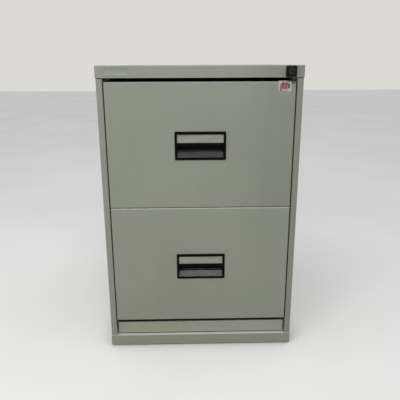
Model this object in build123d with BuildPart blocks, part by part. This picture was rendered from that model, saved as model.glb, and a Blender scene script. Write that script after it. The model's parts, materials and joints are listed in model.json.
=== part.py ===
from build123d import *
from collections import namedtuple
from math import cos, radians, sin
import os

# Two-drawer steel filing cabinet, in millimetres. The origin is on the floor, in the middle of
# the overall outline. +Z is up, the drawers face -Y, and +X is to the right for someone facing
# them. A depth is a distance behind the front plane, the one the cap and the plinth share.

# Overall size
WIDTH = 470.0
HEIGHT = 711.0
DEPTH = 622.0
LOCK_PROJECTION = 7.0
BODY_DEPTH = DEPTH - LOCK_PROJECTION
FRONT_Y = -DEPTH / 2 + LOCK_PROJECTION

# Sheet steel
SHEET = 1.0
UPRIGHT_SHEET = 1.2
DRAWER_SHEET = 0.8
BEND = 2.0
FIT = 0.1

# Carcass
INSET = 1.0
GLIDE_HEIGHT = 4.0
PLINTH_TOP = 31.2
PLINTH_FLANGE = 30.0
FASCIA_HEIGHT = 27.0
FASCIA_RETURN = 13.0
FASCIA_RETURN_HALF = 229.0
SKIRT_HEIGHT = 12.0
CORNER_RETURN = 14.0
CARCASS_HALF = WIDTH / 2 - INSET
OPENING_HALF = 219.5
POST_LIP = 13.0
POST_TOP = 682.0
POST_FOLD = 2.5
REAR_RETURN = 20.0
CAP_UNDERSIDE = HEIGHT - SHEET
FASCIA_FOOT = HEIGHT - FASCIA_HEIGHT
RAIL_DEPTH = 10.0
RAIL_FLANGE = 20.0
RAIL_TOP = 62.5
RAIL_HALF = 216.5
BACK_PANEL_DEPTH = BODY_DEPTH - INSET - 2 * SHEET

# Uprights: hat sections that carry the slides
UPRIGHT_FACE = 209.7
UPRIGHT_LENGTH = 45.0
UPRIGHT_WING = 11.0
FRONT_UPRIGHT_DEPTH = 35.0
REAR_UPRIGHT_DEPTH = 530.0
UPRIGHT_FOOT = PLINTH_TOP + SHEET
UPRIGHT_TOP = 705.0
TOP_RAIL_DEPTH = 38.0
TOP_RAIL_WIDTH = 30.0
TOP_RAIL_HEIGHT = 20.0

# Ball-bearing slides: three nested channels with two cages of balls between them
SLIDE_SHEET = 1.2
SLIDE_THICKNESS = 12.7
SLIDE_DEPTH = 24.0
SLIDE_LENGTH = 550.0
SLIDE_BEND = 1.6
BALL_RADIUS = 2.0
CAGE_SHEET = 0.35
CAGE_OFFSET = 135.0
CAGE_LENGTH = 280.0
BALLS_PER_ROW = 6
SCREW_RADIUS = 2.0
SCREW_HEAD_RADIUS = 4.0
SCREW_LENGTH = 6.0
SCREW_DEPTHS = (47.0, 68.0, 542.0, 563.0)
RIVET_DEPTHS = (60.0, 290.0, 520.0)
RIVET_HEAD = 1.2
RIVET_HEAD_RADIUS = 4.0
RIVET_TAIL_RADIUS = 3.2

# Drawers
FRONT_HALF = 217.5
FRONT_DEPTH = 20.0
FRONT_BEND = 2.5
FRONT_RETURN = 12.0
LINER_HALF = 205.0
BOX_HALF = UPRIGHT_FACE - SLIDE_THICKNESS
BOX_HEIGHT = 253.0
BOX_BACK_DEPTH = 585.0
SIDE_FOOT = 12.0
HANGING_RAIL = 10.0
SLIDE_ABOVE_FLOOR = 60.0
CATCH_ABOVE_FLOOR = 200.0
DRAWER_PITCH = 304.8
SEAM = 1.5

# Handle: one moulding with a label frame over a finger pocket
HANDLE_WIDTH = 119.8
HANDLE_HEIGHT = 67.0
HANDLE_ABOVE_FRONT_FOOT = 117.2
HANDLE_PROUD = 2.2
HANDLE_CORNER = 3.0
WINDOW_WIDTH = 108.5
WINDOW_HEIGHT = 19.4
WINDOW_TOP_BORDER = 7.0
WINDOW_FILM = 0.5
POCKET_WIDTH = 108.0
POCKET_HEIGHT = 27.3
POCKET_LIP = 6.2
POCKET_DEPTH = 16.5
POCKET_WALL = 1.8
POCKET_DRAFT = 0.8
RAMP_RISE = 12.5
RAMP_RUN = 8.4
SNAP_RIB = 1.2

# Lock
LOCK_X = 204.3
LOCK_Z = 697.4
BEZEL_WIDTH = 24.3
BEZEL_HEIGHT = 24.3
BEZEL_CORNER = 3.0
BEZEL_BASE = 4.6
COLLAR_RADIUS = 9.4
COLLAR_CHAMFER = 1.2
HOUSING_RADIUS = 8.6
BARREL_RADIUS = 6.6
BARREL_RECESS = 0.5
KEY_SLOT = (8.5, 2.2)
NUT_THICKNESS = 3.0
NUT_RADIUS = 11.5
TAIL_WIDTH = 7.6
CAM_DEPTH = 22.0
CAM_SHEET = 2.0
CAM_SCREW_HEAD = 2.5
CAM_SCREW_HEAD_RADIUS = 4.6
CRANK = 9.0
CRANK_REST = -45.0
CRANK_PIN_RADIUS = 2.0
CAM_ARM_RADIUS = 3.5
SLOT_CLEARANCE = 0.4
LOCK_BAR_DEPTH = 31.5
LOCK_BAR_SHEET = 2.0
LOCK_BAR_X = (216.4, 228.0)
LOCK_BAR_HEAD = 11.5
SLOT_BORDER = 2.5
FINGER_X = 200.0
FINGER_HEIGHT = 10.0
FINGER_GAP = 2.0
CATCH_HALF_HEIGHT = 12.0
CATCH_DEPTH = 34.5
CATCH_SHEET = 2.0
CATCH_REACH = 208.5
CATCH_FOOT = 27.0
GUIDE_HEIGHTS = (350.0, 450.0, 640.0)
GUIDE_LENGTH = 14.0

# Small parts
BUFFER_X = 212.8
BUFFER_RADIUS = 3.0
BUFFER_STEM_RADIUS = 1.9
BUFFER_HEIGHTS = (20.0, 230.0)
GLIDE_RADIUS = 13.0
GLIDE_STEM_RADIUS = 4.0
GLIDE_INSET = 18.0
NAMEPLATE_WIDTH = 52.5
NAMEPLATE_HEIGHT = 19.5
NAMEPLATE_CENTRE = (-186.8, 698.8)
NAMEPLATE_THICKNESS = 0.6
STICKER_WIDTH = 30.0
STICKER_HEIGHT = 24.0
STICKER_CENTRE = (191.7, 664.8)
STICKER_THICKNESS = 0.3

Drawer = namedtuple("Drawer", "name floor front_foot front_top")
LOWER_FLOOR = 87.2
LOWER_FRONT_FOOT = 75.0
UPPER_FRONT_FOOT = LOWER_FRONT_FOOT + DRAWER_PITCH
UPPER_FRONT_TOP = 675.3
LOWER = Drawer("lower", LOWER_FLOOR, LOWER_FRONT_FOOT, UPPER_FRONT_FOOT - SEAM)
UPPER = Drawer("upper", LOWER_FLOOR + DRAWER_PITCH, UPPER_FRONT_FOOT, UPPER_FRONT_TOP)
DRAWERS = (LOWER, UPPER)


def y_at(depth):
    """Y of a point that lies a depth behind the front plane."""
    return FRONT_Y + depth


def plane_at(depth):
    """Upright plane at a depth, facing the front: its x is X and its y is Z."""
    return Plane(origin=(0, y_at(depth), 0), x_dir=(1, 0, 0), z_dir=(0, -1, 0))


def folded_section(points, thickness=SHEET, side=Side.LEFT, bend=BEND):
    """Section of a folded sheet with one surface on a path and its thickness to one side."""
    with BuildSketch() as section:
        with BuildLine():
            path = FilletPolyline(*points, radius=bend)
            offset(path, amount=thickness, side=side)
        make_face()
    return section.sketch


def box_between(low, high, mode=Mode.ADD):
    """A box between two opposite corners, in the part being built."""
    middle = tuple((a + b) / 2 for a, b in zip(low, high))
    with Locations(middle):
        Box(*[b - a for a, b in zip(low, high)], mode=mode)


def rod_along_x(x_range, y, z, radius, mode=Mode.ADD):
    with Locations((sum(x_range) / 2, y, z)):
        Cylinder(radius, x_range[1] - x_range[0], rotation=(0, 90, 0), mode=mode)


def rod_along_y(depth_range, x, z, radius, mode=Mode.ADD):
    with Locations((x, y_at(sum(depth_range) / 2), z)):
        Cylinder(radius, depth_range[1] - depth_range[0], rotation=(90, 0, 0), mode=mode)


def finish(builder, name):
    """Label a finished sub-part and write its STEP file."""
    builder.part.label = name
    export_step(builder.part, f"parts/{name}.step")


def finish_pair(right, name):
    """Finish a right-hand sub-part and the left-hand one that mirrors it."""
    finish(right, f"right_{name}")
    with BuildPart() as left:
        mirror(right.part, about=Plane.YZ)
    finish(left, f"left_{name}")


def finish_both(right, name):
    """Finish the right-hand and left-hand pieces of one kind as one sub-part."""
    with BuildPart() as both:
        add(right.part)
        mirror(right.part, about=Plane.YZ)
    finish(both, name)


os.makedirs("parts", exist_ok=True)


# ---------------------------------------------------------------- carcass

def side_panel():
    """Side skin whose front edge folds into the post and whose rear edge folds inwards."""
    front = y_at(INSET)
    back = y_at(BODY_DEPTH - INSET)
    with BuildPart() as panel:
        with BuildSketch(Plane.XY.offset(PLINTH_TOP)):
            add(folded_section([
                (OPENING_HALF, front + POST_LIP),
                (OPENING_HALF, front),
                (CARCASS_HALF, front),
                (CARCASS_HALF, back),
                (CARCASS_HALF - REAR_RETURN, back),
            ]))
        extrude(amount=CAP_UNDERSIDE - SHEET - PLINTH_TOP)
        # The post stops under the fascia and only its outer fold runs on up behind it.
        box_between(
            (OPENING_HALF - SHEET, front - SHEET, POST_TOP),
            (CARCASS_HALF - POST_FOLD, front + POST_LIP + SHEET, HEIGHT),
            mode=Mode.SUBTRACT,
        )
    return panel


def top_panel():
    """Cap: a shallow lid with a deep front fascia that turns back along its lower edge."""
    with BuildPart() as cap:
        box_between(
            (-WIDTH / 2, FRONT_Y, FASCIA_FOOT),
            (WIDTH / 2, y_at(BODY_DEPTH), HEIGHT),
        )
        fillet(cap.edges().filter_by(Axis.Z), BEND)
        fillet(cap.faces().sort_by(Axis.Z)[-1].edges(), BEND)
        offset(amount=-SHEET, openings=cap.faces().sort_by(Axis.Z)[0])
        box_between(
            (-WIDTH / 2, y_at(CORNER_RETURN), FASCIA_FOOT),
            (WIDTH / 2, y_at(BODY_DEPTH), HEIGHT - SKIRT_HEIGHT),
            mode=Mode.SUBTRACT,
        )
        with BuildSketch(Plane.YZ.offset(-FASCIA_RETURN_HALF)):
            add(folded_section([
                (y_at(FASCIA_RETURN), FASCIA_FOOT),
                (FRONT_Y, FASCIA_FOOT),
                (FRONT_Y, FASCIA_FOOT + 2 * BEND),
            ], side=Side.RIGHT))
        extrude(amount=2 * FASCIA_RETURN_HALF)
        rod_along_y((-SHEET, 2 * SHEET), LOCK_X, LOCK_Z, HOUSING_RADIUS + FIT, mode=Mode.SUBTRACT)
    return cap


def base_frame():
    """Plinth: a closed ring of C-section, open to the inside."""
    middle = (0, y_at(BODY_DEPTH / 2))
    hollow = (WIDTH - 2 * SHEET, BODY_DEPTH - 2 * SHEET)
    opening = (WIDTH - 2 * PLINTH_FLANGE, BODY_DEPTH - 2 * PLINTH_FLANGE)
    height = PLINTH_TOP - GLIDE_HEIGHT
    with BuildPart() as frame:
        with BuildSketch(Plane.XY.offset(GLIDE_HEIGHT)):
            with Locations(middle):
                RectangleRounded(WIDTH, BODY_DEPTH, BEND)
        extrude(amount=height)
        fillet(frame.faces().sort_by(Axis.Z)[-1].edges(), BEND - SHEET / 2)
        with BuildSketch(Plane.XY.offset(GLIDE_HEIGHT + SHEET)):
            with Locations(middle):
                RectangleRounded(*hollow, SHEET)
        extrude(amount=height - 2 * SHEET, mode=Mode.SUBTRACT)
        with BuildSketch(Plane.XY.offset(GLIDE_HEIGHT)):
            with Locations(middle):
                Rectangle(*opening)
        extrude(amount=height, mode=Mode.SUBTRACT)
        with BuildSketch(Plane.XY.offset(GLIDE_HEIGHT)):
            with Locations(*glide_places()):
                Circle(GLIDE_STEM_RADIUS + FIT)
        extrude(amount=SHEET, mode=Mode.SUBTRACT)
    return frame


def glide_places():
    """Centres of the four floor glides, just inside the corners of the plinth."""
    x = WIDTH / 2 - GLIDE_INSET
    depths = (GLIDE_INSET, BODY_DEPTH - GLIDE_INSET)
    return [(side * x, y_at(depth)) for side in (-1, 1) for depth in depths]


def floor_glides():
    with BuildPart() as glides:
        with BuildSketch(Plane.XY):
            with Locations(*glide_places()):
                Circle(GLIDE_RADIUS)
        extrude(amount=GLIDE_HEIGHT)
        chamfer(glides.faces().sort_by(Axis.Z)[:4].edges(), GLIDE_HEIGHT / 4)
        with BuildSketch(Plane.XY.offset(GLIDE_HEIGHT)):
            with Locations(*glide_places()):
                Circle(GLIDE_STEM_RADIUS)
        extrude(amount=2 * GLIDE_STEM_RADIUS)
    return glides


def bottom_panel():
    with BuildPart() as panel:
        box_between(
            (FIT + SHEET - CARCASS_HALF, y_at(RAIL_DEPTH + RAIL_FLANGE + FIT), PLINTH_TOP),
            (CARCASS_HALF - SHEET - FIT, y_at(BACK_PANEL_DEPTH), PLINTH_TOP + SHEET),
        )
    return panel


def bottom_rail():
    """Channel across the opening below the lower drawer, welded down to the plinth."""
    front = y_at(RAIL_DEPTH)
    with BuildPart() as rail:
        with BuildSketch(Plane.YZ.offset(-RAIL_HALF)):
            add(folded_section([
                (front + RAIL_FLANGE, PLINTH_TOP),
                (front, PLINTH_TOP),
                (front, RAIL_TOP),
                (front + RAIL_FLANGE, RAIL_TOP),
            ], side=Side.RIGHT))
        extrude(amount=2 * RAIL_HALF)
    return rail


def back_panel():
    with BuildPart() as panel:
        box_between(
            (BEND - CARCASS_HALF, y_at(BACK_PANEL_DEPTH), PLINTH_TOP),
            (CARCASS_HALF - BEND, y_at(BACK_PANEL_DEPTH + SHEET), CAP_UNDERSIDE),
        )
    return panel


def upright(depth, screw_depths, has_buffers):
    """Hat section on the inside of the right-hand skin, with its web towards the drawers."""
    wing = CARCASS_HALF - SHEET - UPRIGHT_SHEET
    front = y_at(depth)
    back = y_at(depth + UPRIGHT_LENGTH)
    with BuildPart() as hat:
        with BuildSketch(Plane.XY.offset(UPRIGHT_FOOT)):
            add(folded_section([
                (wing, front - UPRIGHT_WING),
                (wing, front),
                (UPRIGHT_FACE, front),
                (UPRIGHT_FACE, back),
                (wing, back),
                (wing, back + UPRIGHT_WING),
            ], UPRIGHT_SHEET, Side.RIGHT))
        extrude(amount=UPRIGHT_TOP - UPRIGHT_FOOT)
        web = (UPRIGHT_FACE - SHEET, UPRIGHT_FACE + 2 * UPRIGHT_SHEET)
        for drawer in DRAWERS:
            for screw_depth in screw_depths:
                slide_z = drawer.floor + SLIDE_ABOVE_FLOOR
                rod_along_x(web, y_at(screw_depth), slide_z, SCREW_RADIUS + FIT, Mode.SUBTRACT)
            for height in BUFFER_HEIGHTS if has_buffers else ():
                rod_along_y(
                    (depth - SHEET, depth + 2 * UPRIGHT_SHEET), BUFFER_X, drawer.floor + height,
                    BUFFER_STEM_RADIUS + FIT, Mode.SUBTRACT,
                )
    return hat


def top_rail():
    """Channel that ties the heads of the two front uprights together."""
    front = y_at(TOP_RAIL_DEPTH)
    with BuildPart() as rail:
        with BuildSketch(Plane.YZ.offset(-UPRIGHT_FACE)):
            add(folded_section([
                (front + TOP_RAIL_WIDTH, CAP_UNDERSIDE - TOP_RAIL_HEIGHT),
                (front, CAP_UNDERSIDE - TOP_RAIL_HEIGHT),
                (front, CAP_UNDERSIDE),
                (front + TOP_RAIL_WIDTH, CAP_UNDERSIDE),
            ], side=Side.RIGHT))
        extrude(amount=2 * UPRIGHT_FACE)
    return rail


def drawer_buffers():
    """Rubber stops on the front uprights, against which the drawer fronts close."""
    with BuildPart() as right:
        for drawer in DRAWERS:
            for height in BUFFER_HEIGHTS:
                z = drawer.floor + height
                tip = INSET + FRONT_DEPTH + 2 * FIT
                rod_along_y((tip, FRONT_UPRIGHT_DEPTH), BUFFER_X, z, BUFFER_RADIUS)
                stem = (FRONT_UPRIGHT_DEPTH, FRONT_UPRIGHT_DEPTH + 3 * UPRIGHT_SHEET)
                rod_along_y(stem, BUFFER_X, z, BUFFER_STEM_RADIUS)
        fillet(right.faces().group_by(Axis.Y)[0].edges(), BUFFER_RADIUS / 3)
    return right


def nameplate():
    """Blank plate on the fascia."""
    with BuildPart() as plate:
        with BuildSketch(plane_at(0)):
            with Locations(NAMEPLATE_CENTRE):
                RectangleRounded(NAMEPLATE_WIDTH, NAMEPLATE_HEIGHT, BEND)
        extrude(amount=NAMEPLATE_THICKNESS)
        fillet(plate.faces().sort_by(Axis.Y)[0].edges(), NAMEPLATE_THICKNESS / 3)
    return plate


finish_pair(side_panel(), "side_panel")
finish(top_panel(), "top_panel")
finish(base_frame(), "base_frame")
finish(floor_glides(), "floor_glides")
finish(bottom_panel(), "bottom_panel")
finish(bottom_rail(), "bottom_rail")
finish(back_panel(), "back_panel")
finish_pair(upright(FRONT_UPRIGHT_DEPTH, SCREW_DEPTHS[:2], True), "front_upright")
finish_pair(upright(REAR_UPRIGHT_DEPTH, SCREW_DEPTHS[2:], False), "rear_upright")
finish(top_rail(), "top_rail")
finish_both(drawer_buffers(), "drawer_buffers")
finish(nameplate(), "nameplate")


# ---------------------------------------------------------------- slides

def channel(
    points, start_depth, length, slide_z, thickness=SLIDE_SHEET, side=Side.RIGHT, bend=SLIDE_BEND,
):
    """Slide channel along Y. Its path is given as (distance from the upright, height)."""
    path = [(UPRIGHT_FACE - u, slide_z + v) for u, v in points]
    with BuildPart() as member:
        with BuildSketch(plane_at(start_depth)):
            add(folded_section(path, thickness, side, bend))
        extrude(amount=-length)
    return member


# Paths of the three channels and the two cages, as (distance from the upright, height).
OUTER_PATH = [(10.5, 18.8), (10.5, 22.5), (0, 22.5), (0, -22.5), (10.5, -22.5), (10.5, -18.8)]
MIDDLE_PATH = [(11.2, 17.1), (2.0, 17.1), (2.0, -17.1), (11.2, -17.1)]
INNER_PATH = [(5.5, 11.7), (12.7, 11.7), (12.7, -11.7), (5.5, -11.7)]
OUTER_CAGE_PATH = [(9.0, 19.4), (1.45, 19.4), (1.45, -19.4), (9.0, -19.4)]
INNER_CAGE_PATH = [(10.8, 14.0), (3.5, 14.0), (3.5, -14.0), (10.8, -14.0)]
OUTER_BALL = (6.2, 19.2)
INNER_BALL = (8.0, 13.8)


def outer_slide(slide_z):
    """Channel screwed to the uprights, with a countersunk hole for each screw."""
    member = channel(OUTER_PATH, SLIDE_DEPTH, SLIDE_LENGTH, slide_z)
    with member:
        for depth in SCREW_DEPTHS:
            countersunk_head(depth, slide_z, FIT / 2, Mode.SUBTRACT)
    return member


def countersunk_head(depth, slide_z, growth=0.0, mode=Mode.ADD):
    with Locations((UPRIGHT_FACE - SLIDE_SHEET / 2, y_at(depth), slide_z)):
        Cone(
            SCREW_HEAD_RADIUS + growth, SCREW_RADIUS + growth, SLIDE_SHEET,
            rotation=(0, 90, 0), mode=mode,
        )


def slide_screws():
    with BuildPart() as screws:
        for drawer in DRAWERS:
            slide_z = drawer.floor + SLIDE_ABOVE_FLOOR
            for depth in SCREW_DEPTHS:
                countersunk_head(depth, slide_z)
                shank = (UPRIGHT_FACE, UPRIGHT_FACE + SCREW_LENGTH)
                rod_along_x(shank, y_at(depth), slide_z, SCREW_RADIUS)
    return screws


def ball_places(ball, slide_z):
    """Centres of the two rows of balls on the right-hand slide."""
    u, v = ball
    pitch = CAGE_LENGTH / BALLS_PER_ROW
    start = SLIDE_DEPTH + CAGE_OFFSET + pitch / 2
    return [
        (UPRIGHT_FACE - u, y_at(start + i * pitch), slide_z + side * v)
        for i in range(BALLS_PER_ROW)
        for side in (-1, 1)
    ]


def balls(ball, slide_z):
    with BuildPart() as row:
        with Locations(*ball_places(ball, slide_z)):
            Sphere(BALL_RADIUS)
    return row


def cage(path, ball, slide_z):
    """Thin channel with a hole around each ball."""
    member = channel(
        path, SLIDE_DEPTH + CAGE_OFFSET, CAGE_LENGTH, slide_z, CAGE_SHEET, bend=2 * CAGE_SHEET,
    )
    with member:
        with Locations(*ball_places(ball, slide_z)):
            Cylinder(BALL_RADIUS + FIT, 2 * BALL_RADIUS, mode=Mode.SUBTRACT)
    return member


finish_both(slide_screws(), "slide_screws")
for drawer in DRAWERS:
    slide_z = drawer.floor + SLIDE_ABOVE_FLOOR
    finish_both(outer_slide(slide_z), f"{drawer.name}_outer_slides")
    middle_slide = channel(MIDDLE_PATH, SLIDE_DEPTH, SLIDE_LENGTH, slide_z)
    finish_both(middle_slide, f"{drawer.name}_middle_slides")
    finish_both(cage(OUTER_CAGE_PATH, OUTER_BALL, slide_z), f"{drawer.name}_outer_cages")
    finish_both(cage(INNER_CAGE_PATH, INNER_BALL, slide_z), f"{drawer.name}_inner_cages")
    finish_both(balls(OUTER_BALL, slide_z), f"{drawer.name}_outer_balls")
    finish_both(balls(INNER_BALL, slide_z), f"{drawer.name}_inner_balls")


# ---------------------------------------------------------------- drawers

def drawer_front(drawer):
    """Front of a drawer: a shallow pan, open to the rear, with a cut-out for the finger pocket."""
    face = y_at(INSET)
    rear = y_at(INSET + FRONT_DEPTH)
    with BuildPart() as pan:
        box_between((-FRONT_HALF, face, drawer.front_foot), (FRONT_HALF, rear, drawer.front_top))
        fillet(pan.edges().filter_by(Axis.Y), BEND)
        fillet(pan.faces().sort_by(Axis.Y)[0].edges(), FRONT_BEND)
        offset(amount=-DRAWER_SHEET, openings=pan.faces().sort_by(Axis.Y)[-1])
        middle_z = (drawer.front_foot + drawer.front_top) / 2
        height = drawer.front_top - drawer.front_foot
        with BuildSketch(plane_at(INSET + FRONT_DEPTH)):
            with Locations((0, middle_z)):
                RectangleRounded(2 * FRONT_HALF, height, BEND)
                Rectangle(2 * (FRONT_HALF - FRONT_RETURN), height - 2 * FRONT_RETURN, mode=Mode.SUBTRACT)
        extrude(amount=DRAWER_SHEET)
        box_between(
            (-pocket_half() - FIT, face - SHEET, pocket_foot(drawer) - FIT),
            (pocket_half() + FIT, face + SHEET, pocket_top(drawer) + FIT),
            mode=Mode.SUBTRACT,
        )
    return pan


def handle_foot(drawer):
    return drawer.front_foot + HANDLE_ABOVE_FRONT_FOOT


def pocket_half():
    """Half the width of the box that forms the finger pocket behind the drawer front."""
    return POCKET_WIDTH / 2 + POCKET_WALL


def pocket_foot(drawer):
    return handle_foot(drawer) + POCKET_LIP - POCKET_WALL


def pocket_top(drawer):
    return handle_foot(drawer) + POCKET_LIP + POCKET_HEIGHT + POCKET_WALL


def pocket_space(drawer):
    """Hollow of the finger pocket: a ramp behind the lip, then a floor, between drafted sides."""
    mouth = y_at(INSET - HANDLE_PROUD)
    back = y_at(INSET + POCKET_DEPTH - POCKET_WALL)
    foot = handle_foot(drawer) + POCKET_LIP
    half = POCKET_WIDTH / 2
    ramp_end = mouth + RAMP_RUN
    with BuildPart() as space:
        with BuildSketch(Plane.YZ.offset(-half)):
            with BuildLine():
                Polyline(
                    (mouth - SHEET, foot),
                    (mouth, foot),
                    (ramp_end, foot + RAMP_RISE),
                    (back, foot + RAMP_RISE),
                    (back, foot + POCKET_HEIGHT),
                    (mouth - SHEET, foot + POCKET_HEIGHT),
                    close=True,
                )
            make_face()
        extrude(amount=2 * half)
        with BuildSketch(Plane.XY.offset(foot)):
            with BuildLine():
                Polyline(
                    (-half, mouth - SHEET),
                    (half, mouth - SHEET),
                    (half, mouth),
                    (half - POCKET_DRAFT, ramp_end),
                    (half - POCKET_DRAFT, back),
                    (POCKET_DRAFT - half, back),
                    (POCKET_DRAFT - half, ramp_end),
                    (-half, mouth),
                    close=True,
                )
            make_face()
        extrude(amount=POCKET_HEIGHT, mode=Mode.INTERSECT)
        fillet(space.edges().filter_by(Axis.Y, reverse=True).group_by(Axis.Y)[-1], POCKET_WALL)
    return space


def handle(drawer):
    """Black moulding: a label frame above a finger pocket, snapped into the drawer front."""
    foot = handle_foot(drawer)
    seat = y_at(INSET)
    window_foot = foot + HANDLE_HEIGHT - WINDOW_TOP_BORDER - WINDOW_HEIGHT
    window_middle = (0, window_foot + WINDOW_HEIGHT / 2)
    with BuildPart() as moulding:
        with BuildSketch(plane_at(INSET)):
            with Locations((0, foot + HANDLE_HEIGHT / 2)):
                RectangleRounded(HANDLE_WIDTH, HANDLE_HEIGHT, HANDLE_CORNER)
        extrude(amount=HANDLE_PROUD)
        fillet(moulding.faces().sort_by(Axis.Y)[0].edges(), HANDLE_PROUD / 3)
        with BuildSketch(plane_at(INSET)):
            with Locations(window_middle):
                RectangleRounded(WINDOW_WIDTH, WINDOW_HEIGHT, SHEET)
        extrude(amount=HANDLE_PROUD, mode=Mode.SUBTRACT)
        with BuildSketch(plane_at(INSET)):
            with Locations(window_middle):
                Rectangle(WINDOW_WIDTH + 2 * BEND, WINDOW_HEIGHT + 2 * BEND)
        extrude(amount=WINDOW_FILM + FIT, mode=Mode.SUBTRACT)
        box_between(
            (-pocket_half(), seat - HANDLE_PROUD / 3, pocket_foot(drawer)),
            (pocket_half(), y_at(INSET + POCKET_DEPTH), pocket_top(drawer)),
        )
        with BuildSketch(Plane.XY.offset(foot + POCKET_LIP + POCKET_HEIGHT / 3)):
            add(snap_rib_section())
            mirror(about=Plane.YZ)
        extrude(amount=POCKET_HEIGHT / 3)
        add(pocket_space(drawer).part, mode=Mode.SUBTRACT)
    return moulding


def snap_rib_section():
    """Wedge beside the pocket that springs out behind the sheet of the drawer front."""
    sheet_back = y_at(INSET + DRAWER_SHEET + FIT)
    edge = pocket_half()
    with BuildSketch() as section:
        with BuildLine():
            Polyline(
                (edge - SNAP_RIB / 2, sheet_back),
                (edge + SNAP_RIB, sheet_back),
                (edge - SNAP_RIB / 2, sheet_back + 4 * SNAP_RIB),
                close=True,
            )
        make_face()
    return section.sketch


def label_window(drawer):
    """Clear film held between the label frame and the drawer front."""
    foot = handle_foot(drawer) + HANDLE_HEIGHT - WINDOW_TOP_BORDER - WINDOW_HEIGHT
    with BuildPart() as film:
        with BuildSketch(plane_at(INSET)):
            with Locations((0, foot + WINDOW_HEIGHT / 2)):
                Rectangle(WINDOW_WIDTH + BEND, WINDOW_HEIGHT + BEND)
        extrude(amount=WINDOW_FILM)
    return film


def inner_front(drawer):
    """Liner that closes the pan from the inside of the drawer."""
    depth = INSET + FRONT_DEPTH
    with BuildPart() as liner:
        box_between(
            (-LINER_HALF, y_at(depth), drawer.floor),
            (LINER_HALF, y_at(depth + DRAWER_SHEET), drawer.floor + BOX_HEIGHT),
        )
    return liner


def drawer_side(drawer):
    """Drawer side with a folded foot below and a folded hanging rail along its top edge."""
    start = INSET + FRONT_DEPTH + DRAWER_SHEET
    top = drawer.floor + BOX_HEIGHT
    section = [
        (BOX_HALF - SIDE_FOOT, drawer.floor),
        (BOX_HALF, drawer.floor),
        (BOX_HALF, top),
        (BOX_HALF - HANGING_RAIL, top),
        (BOX_HALF - HANGING_RAIL, top - HANGING_RAIL),
    ]
    with BuildPart() as side:
        with BuildSketch(plane_at(start)):
            add(folded_section(section, DRAWER_SHEET))
        extrude(amount=start + DRAWER_SHEET - BOX_BACK_DEPTH)
        sheet = (BOX_HALF - 2 * DRAWER_SHEET, BOX_HALF + DRAWER_SHEET)
        for depth in RIVET_DEPTHS:
            z = drawer.floor + SLIDE_ABOVE_FLOOR
            rod_along_x(sheet, y_at(depth), z, SCREW_RADIUS + FIT / 2, Mode.SUBTRACT)
    return side


def punch_catch_holes(drawer):
    """Holes for the two rivets of the lock catch, in the right-hand part being built."""
    for y, z in catch_rivet_places(drawer):
        reach = (BOX_HALF - 2 * SHEET, BOX_HALF + CATCH_SHEET + SHEET)
        rod_along_x(reach, y, z, SCREW_RADIUS + FIT / 2, Mode.SUBTRACT)


def catch_rivet_places(drawer):
    y = y_at(CATCH_DEPTH + 2 * CATCH_FOOT / 3)
    middle = drawer.floor + CATCH_ABOVE_FLOOR
    return [(y, middle - CATCH_HALF_HEIGHT / 2), (y, middle + CATCH_HALF_HEIGHT / 2)]


def drawer_bottom(drawer):
    """Flat sheet that lies on the feet of the two sides."""
    half = BOX_HALF - 3 * DRAWER_SHEET
    floor = drawer.floor + DRAWER_SHEET
    with BuildPart() as sheet:
        box_between(
            (-half, y_at(INSET + FRONT_DEPTH + DRAWER_SHEET), floor),
            (half, y_at(BOX_BACK_DEPTH - DRAWER_SHEET), floor + DRAWER_SHEET),
        )
    return sheet


def drawer_back(drawer):
    """Sheet across the rear ends of the sides, with its top edge folded forwards."""
    rear = y_at(BOX_BACK_DEPTH)
    top = drawer.floor + BOX_HEIGHT
    fold_half = BOX_HALF - HANGING_RAIL - BEND
    with BuildPart() as back:
        box_between(
            (-BOX_HALF, rear - DRAWER_SHEET, drawer.floor),
            (BOX_HALF, rear, top - BEND),
        )
        with BuildSketch(Plane.YZ.offset(-fold_half)):
            add(folded_section([
                (rear, top - 2 * BEND),
                (rear, top),
                (rear - HANGING_RAIL, top),
            ], DRAWER_SHEET))
        extrude(amount=2 * fold_half)
    return back


def inner_slide(drawer):
    """Channel riveted to the drawer side."""
    slide_z = drawer.floor + SLIDE_ABOVE_FLOOR
    member = channel(INNER_PATH, SLIDE_DEPTH, SLIDE_LENGTH, slide_z, side=Side.LEFT)
    with member:
        for depth in RIVET_DEPTHS:
            web = (BOX_HALF - SHEET, BOX_HALF + 2 * SLIDE_SHEET)
            rod_along_x(web, y_at(depth), slide_z, SCREW_RADIUS + FIT / 2, Mode.SUBTRACT)
    return member


def rivet(y, z, grip_sheet):
    """Rivet through the drawer side and a sheet outside it, with a head on either face."""
    inner_face = BOX_HALF - DRAWER_SHEET
    outer_face = BOX_HALF + grip_sheet
    rod_along_x((inner_face, outer_face), y, z, SCREW_RADIUS)
    rod_along_x((inner_face - RIVET_HEAD, inner_face), y, z, RIVET_HEAD_RADIUS)
    rod_along_x((outer_face, outer_face + RIVET_HEAD), y, z, RIVET_TAIL_RADIUS)


def rivets(drawer):
    slide_z = drawer.floor + SLIDE_ABOVE_FLOOR
    with BuildPart() as right:
        for depth in RIVET_DEPTHS:
            rivet(y_at(depth), slide_z, SLIDE_SHEET)
    with BuildPart() as every:
        add(right.part)
        mirror(right.part, about=Plane.YZ)
        for y, z in catch_rivet_places(drawer):
            rivet(y, z, CATCH_SHEET)
    return every


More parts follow.
